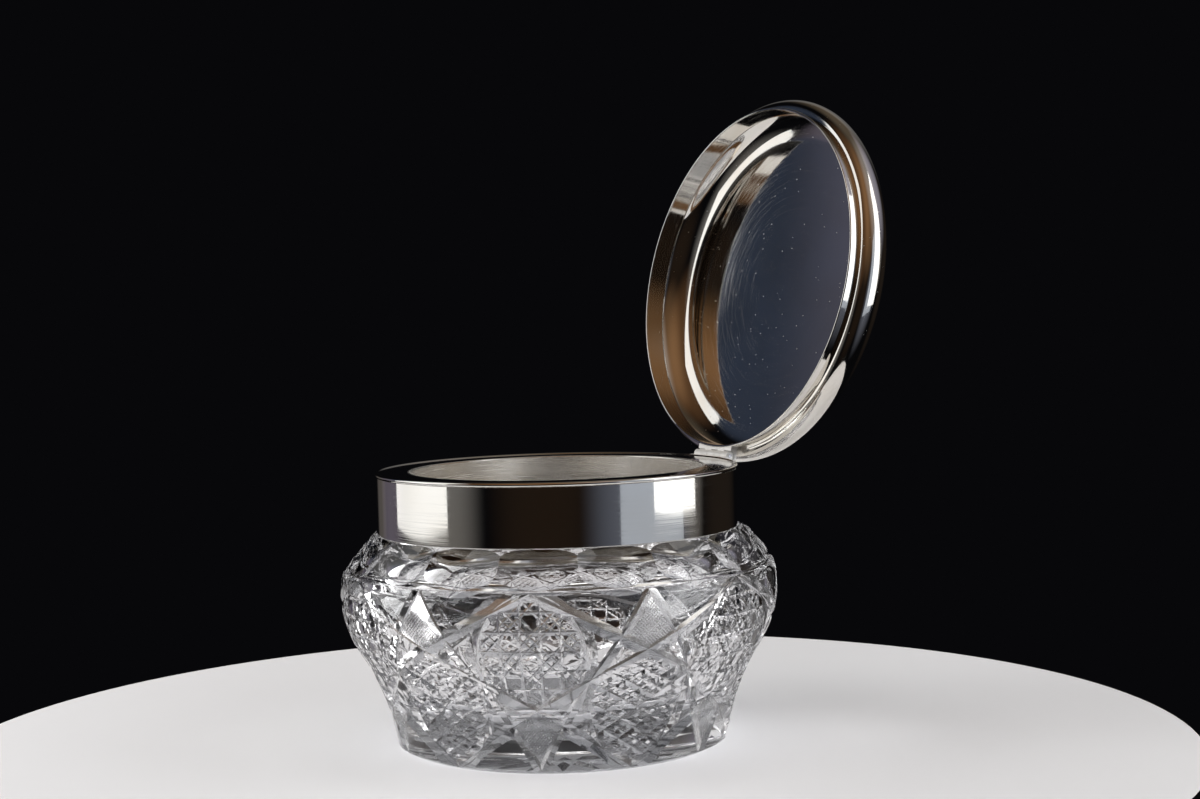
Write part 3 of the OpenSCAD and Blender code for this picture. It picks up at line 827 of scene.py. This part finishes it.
# %% [markdown]
# A face of the bowl belongs to a cut where its middle lies under the uncut body, measured square to the surface.
# The kites are found by their outline on the unrolled body. Material numbers could also be carried over by the
# Boolean modifier, but then the kites' faces would not be told apart from the other cuts.

# %% Find the faces of the cuts
# a cut's face lies this deep under the uncut body, in mm, and not on the wall of the hollow
CUT_FROM, CUT_TO, INNER_SKIN = 0.05, 2.6, 22.0
count = len(bowl.data.polygons)
middle = np.empty(count * 3, np.float32)
bowl.data.polygons.foreach_get("center", middle)
middle = middle.reshape(-1, 3) / MM
radius, height = np.hypot(middle[:, 0], middle[:, 1]), middle[:, 2]
below = (body_radius(height) - radius) / np.sqrt(1 + body_slope(height) ** 2)
in_pattern = (height > PATTERN_LOW - 0.5) & (height < PATTERN_TOP + 0.3) & (radius > HOLLOW_R - INNER_SKIN)
is_cut = in_pattern & (below > CUT_FROM) & (below < CUT_TO)
turn_a = np.degrees(np.arctan2(middle[:, 1], middle[:, 0]))
from_upper = (turn_a - upper[0] + pitch / 2) % pitch - pitch / 2
from_lower = (turn_a - lower[0] + pitch / 2) % pitch - pitch / 2
is_kite = is_cut & (kite_inside(from_upper, height) | kite_flipped(from_lower, height))
bowl.data.polygons.foreach_set("material_index", is_cut.astype(np.int32) + is_kite)
bowl.data.update()
print("faces:", count, "cut:", int(is_cut.sum()), "hatched:", int(is_kite.sum()))


# %% [markdown]
# Silver that is handled and rubbed for a hundred years is a soft mirror. Tarnish makes it a little brown in clouds,
# polishing leaves fine lines that run round the piece, and the sheet is never quite even, so mirrored edges wave. A
# plain metal would look like chrome. The lines are noise on the piece's own UV map, stretched along the way round,
# because only the map knows which way the cloth went.

# %% Silver
def silver(name, rough_low, rough_high, warm=0.25, streaks=None, specks=False, metallic=1.0):
    """Silver that is lightly tarnished. With streaks, the polishing lines run round the piece: noise on the UV map,
    long along the way round and fine across it (in lines for each millimetre)."""
    made, tree, shader, place = material(name, Metallic=metallic)
    spot = place.outputs["Object"]
    amount = remap(tree, noise(tree, spot, 35.0, 5.0), 0.35, 0.75, 0.0, warm)
    tree.links.new(blend(tree, amount, "#EFEDE8", "#C9B79C"), shader.inputs["Base Color"])
    if streaks:
        stretch = node(tree, "ShaderNodeMapping", {"Vector": place.outputs["UV"]}, {"Scale": (0.03, streaks, 1.0)})
        lines = noise(tree, stretch.outputs[0], 1.0, 4.0)
    else:
        lines = noise(tree, spot, 900.0, 2.0)
    rough = remap(tree, lines, 0.4, 0.75, rough_low, rough_high)
    if specks:
        # tiny pits that catch the light, about 3 mm apart
        pits = node(tree, "ShaderNodeTexVoronoi", {"Vector": spot}, {"Scale": 330.0})
        matt = remap(tree, pits.outputs["Distance"], 0.04, 0.08, 0.5, 0.0)
        rough = node(tree, "ShaderNodeMath", {0: matt, 1: rough}, operation="MAXIMUM").outputs[0]
    tree.links.new(rough, shader.inputs["Roughness"])
    wave = noise(tree, spot, 28.0, 1.0)
    bump = node(tree, "ShaderNodeBump", {"Height": wave}, {"Strength": 0.25, "Distance": 0.0002})
    tree.links.new(bump.outputs[0], shader.inputs["Normal"])
    return made


# the band is wiped round and round, so its lines are level and its highlights are softly streaked
wiped = silver("wiped_silver", 0.03, 0.14, 0.2, 2.5)
# the spun dome shows the rings of the spinning and of years of polishing
rubbed = silver("spun_silver", 0.03, 0.12, 0.3, 1.2, specks=True)
# the throat was never polished bright: its scratches scatter a part of the light, so it isn't all metallic
brushed = silver("brushed_silver", 0.08, 0.36, 0.35, 3.0, metallic=0.86)
# the hinge is filed and only rubbed over, and scatters more
filed = silver("filed_silver", 0.3, 0.45, 0.1, metallic=0.6)
for thing, finish in ((band, wiped), (ring, wiped), (throat, brushed), (bezel, wiped), (dome, rubbed)):
    thing.data.materials.clear()
    thing.data.materials.append(finish)


def dress(name, finish):
    """Gives a solid of the frame its finish."""
    thing = frame["nodes"][name]
    for k in range(len(thing.material_slots)):
        thing.material_slots[k].link = "OBJECT"
        thing.material_slots[k].material = finish


for name in frame["nodes"]:
    if "leaf" in name or "knuckle" in name:
        dress(name, filed)

# %% [markdown]
# The plaster is hidden in the collar, and only its edge can be seen through the glass of the shoulder: a dull, uneven
# off-white. The pin is drawn wire, with fine lines along it. Both keep their solids, because their shapes are right.

# %% Plaster and pin
plaster, tree, shader, place = material("bedding_plaster", Roughness=0.9)
cloud = noise(tree, place.outputs["Object"], 180.0, 4.0)
tree.links.new(blend(tree, cloud, "#BDB6A6", "#9C9484"), shader.inputs["Base Color"])
dress("plaster_bed", plaster)

wire, tree, shader, place = material("drawn_pin_wire", Base_Color=linear("#B9B9BC"), Metallic=1.0)
stretch = node(tree, "ShaderNodeMapping", {"Vector": place.outputs["Object"]}, {"Scale": (20.0, 900.0, 900.0)})
lines = noise(tree, stretch.outputs[0], 1.0, 2.0)
tree.links.new(remap(tree, lines, 0.0, 1.0, 0.15, 0.4), shader.inputs["Roughness"])
dress("hinge_pin", wire)

# %% [markdown]
# ## Studio
#
# The camera stands where the photograph was taken from. Its place, its angles and its lens were worked out from the
# ellipses of the collar, the ring, the foot and the lid's rim, whose real shapes are circles of known size. It could
# be aimed with a Track To constraint, but the photograph is a little tilted, and plain axes hold that too.

# %% Camera
# width and focal length of the photograph in pixels, the camera's distance and height in mm, its angles in degrees
PHOTO_W, FOCAL_PIXELS = 1200, 2026.1
CAMERA_BACK, CAMERA_UP = 696.3, 151.3
PITCH, YAW, ROLL = 2.827, 1.289, -1.467
PHOTO_AZIMUTH = 60.44
FILM_WIDE = 36.0
pitch_a, yaw_a, roll_a = np.radians([PITCH, YAW, ROLL])
forward = np.array([np.sin(yaw_a) * np.cos(pitch_a), np.cos(yaw_a) * np.cos(pitch_a), -np.sin(pitch_a)])
right = np.array([np.cos(yaw_a), -np.sin(yaw_a), 0])
up = np.cross(right, forward)
right, up = np.cos(roll_a) * right + np.sin(roll_a) * up, -np.sin(roll_a) * right + np.cos(roll_a) * up
eye = rotated([0, -CAMERA_BACK, CAMERA_UP], PHOTO_AZIMUTH, 0, 1) * MM
forward, right, up = (rotated(v, PHOTO_AZIMUTH, 0, 1) for v in (forward, right, up))
lens = bpy.data.cameras.new("camera")
lens.sensor_width = FILM_WIDE
lens.lens = FILM_WIDE * FOCAL_PIXELS / PHOTO_W
camera = bpy.data.objects.new("camera", lens)
camera.matrix_world = Matrix([[right[k], up[k], -forward[k], eye[k]] for k in range(3)] + [[0, 0, 0, 1]])
bpy.context.scene.collection.objects.link(camera)
bpy.context.scene.camera = camera
print("lens", round(lens.lens, 1), "mm; camera at", np.round(eye, 3).tolist(), "m")

# %% [markdown]
# The jar stands on a pale round board. A mirror and clear glass have no look of their own: they show the room. So the
# room is made with care. It is dark, as in the photograph, with dim coloured glows where the real room had walls and
# windows. Each glow fades out softly round one direction. Boxes and cards could stand there instead, but their hard
# edges would show in the silver. The camera itself sees a plain dark backdrop.

# %% Floor
FLOOR_R, FLOOR_STEPS = 0.215, 128
floor_mesh = bpy.data.meshes.new("floor")
a = np.linspace(0, 2 * np.pi, FLOOR_STEPS, endpoint=False)
floor_mesh.from_pydata((FLOOR_R * np.stack([np.cos(a), np.sin(a), 0 * a], 1)).tolist(), [], [list(range(FLOOR_STEPS))])
floor = bpy.data.objects.new("floor", floor_mesh)
bpy.context.scene.collection.objects.link(floor)
# matt painted board, light enough to look white under the lamps and dark enough not to clip
floor.data.materials.append(material("pale_floor", Base_Color=linear("#CDCDCE"), Roughness=0.8)[0])


# %% Room
def direction(azimuth, elevation):
    """Unit vector at an angle to the right of the camera's direction, and up, as seen from the jar."""
    a, e = np.radians(PHOTO_AZIMUTH - 90 + azimuth), np.radians(elevation)
    return Vector((np.cos(e) * np.cos(a), np.cos(e) * np.sin(a), np.sin(e)))


BACKDROP = "#08080A"
# azimuth from the camera's direction, elevation and half width in degrees, strength and colour
GLOWS = (
    (-149, -4, 13, 0.09, "#F0E4DC"),
    (-129, 0, 20, 0.15, "#DCD0E8"),
    (-98, 14, 13, 0.5, "#E0E4F4"),
    (-116, 22, 24, 0.06, "#A8C0F0"),
    (-80, 0, 36, 0.17, "#E8E4E0"),
    (-50, 50, 44, 0.10, "#FFBC80"),
    (-8, 0, 40, 0.012, "#FFC890"),
    (5, 52, 46, 0.13, "#FFC48C"),
    (56, 0, 44, 0.15, "#D0D8F0"),
    (62, 48, 42, 0.24, "#ECE6E2"),
    (94, 2, 14, 0.17, "#F0E8E0"),
    (108, 34, 32, 0.30, "#E4E0F4"),
    (128, 0, 30, 0.012, "#FFD8B0"),
    (150, 62, 40, 0.10, "#E8D0B0"),
    (165, 30, 26, 0.16, "#E6E2E0"),
)
world = bpy.data.worlds.new("dark_studio")
bpy.context.scene.world = world
world.use_nodes = True
tree = world.node_tree
place = node(tree, "ShaderNodeTexCoord")
light = None
for azimuth, elevation, half_width, strength, code in GLOWS:
    near = node(tree, "ShaderNodeVectorMath", {0: place.outputs["Generated"]}, {1: direction(azimuth, elevation)},
                operation="DOT_PRODUCT")
    rim = float(np.cos(np.radians(half_width)))
    fade = node(tree, "ShaderNodeMapRange", {"Value": near.outputs["Value"]}, {"From Min": rim, "To Max": strength},
                interpolation_type="SMOOTHSTEP")
    glow = node(tree, "ShaderNodeMix", {"Factor": fade.outputs[0]}, {6: linear(BACKDROP), 7: linear(code)},
                data_type="RGBA", blend_type="ADD")
    if light is not None:
        tree.links.new(light, glow.inputs[6])
    light = glow.outputs[2]
# the camera itself sees a plain dark backdrop from all sides
ray_kind = node(tree, "ShaderNodeLightPath")
seen = node(tree, "ShaderNodeMix", {"Factor": ray_kind.outputs["Is Camera Ray"], 6: light}, {7: linear(BACKDROP)},
            data_type="RGBA")
tree.links.new(seen.outputs[2], tree.nodes["Background"].inputs[0])

bpy.context.scene.view_settings.view_transform = "Standard"

# %% [markdown]
# Three upright softboxes and one overhead light the jar. The one on the left makes the white patch on the collar and
# the crescent in the lid, and the high one on the right the line along the lid's side. Glass sends most of a lamp's
# light elsewhere and needs a strong one to sparkle, but in silver the same lamp would be a blank white patch. So each
# softbox is a pair, and what the silver mirrors is the dimmer one.

# %% Lamps
def softbox(name, azimuth, distance, bottom, width, height, radiance, shine, colour="#FFFFFF"):
    """Upright area lamp at an angle to the right of the camera's direction, facing the jar. It is a pair in one place:
    the radiance lights the glass and the floor, and the shine is what mirrors show, so that silver doesn't clip."""
    away = direction(azimuth, 0)
    for mirrored, strength in ((False, radiance), (True, shine)):
        data = bpy.data.lights.new(name + "_shine" * mirrored, "AREA")
        data.shape, data.size, data.size_y = "RECTANGLE", width, height
        data.energy = strength * np.pi * width * height
        data.color = linear(colour)[:3]
        lamp = bpy.data.objects.new(data.name, data)
        # the mirrored one stands 2 mm in front, because two lamps in one plane hide each other
        lamp.location = away * (distance - 0.002 * mirrored) + Vector((0, 0, bottom + height / 2))
        lamp.rotation_euler = away.to_track_quat("Z", "Y").to_euler()
        lamp.visible_camera = False
        lamp.visible_glossy = mirrored
        lamp.visible_diffuse = lamp.visible_transmission = not mirrored
        bpy.context.scene.collection.objects.link(lamp)


# degrees; distance, bottom, width and height in metres; radiance and shine
softbox("softbox_left", -93.0, 0.692, 0.0, 0.60, 0.95, 5.2, 1.0)
softbox("softbox_right", 60, 0.74, -0.06, 0.60, 0.60, 0.42, 0.42, "#DDE6F2")
softbox("softbox_right_high", 76, 0.62, 0.02, 0.36, 0.85, 3.5, 1.3)
TOP_SIDE, TOP_UP, TOP_RADIANCE = 0.9, 1.3, 3.2
top = bpy.data.lights.new("softbox_top", "AREA")
top.shape, top.size = "SQUARE", TOP_SIDE
top.energy = TOP_RADIANCE * np.pi * TOP_SIDE**2
lamp = bpy.data.objects.new("softbox_top", top)
lamp.location = (0, 0, TOP_UP)
lamp.visible_camera = False
# it lights the floor and the glass, and the silver doesn't mirror it
lamp.visible_glossy = False
bpy.context.scene.collection.objects.link(lamp)

# %% [markdown]
# Last, the scene is brought up to date.

# %% Bring the scene up to date, and the end
bpy.context.view_layer.update()
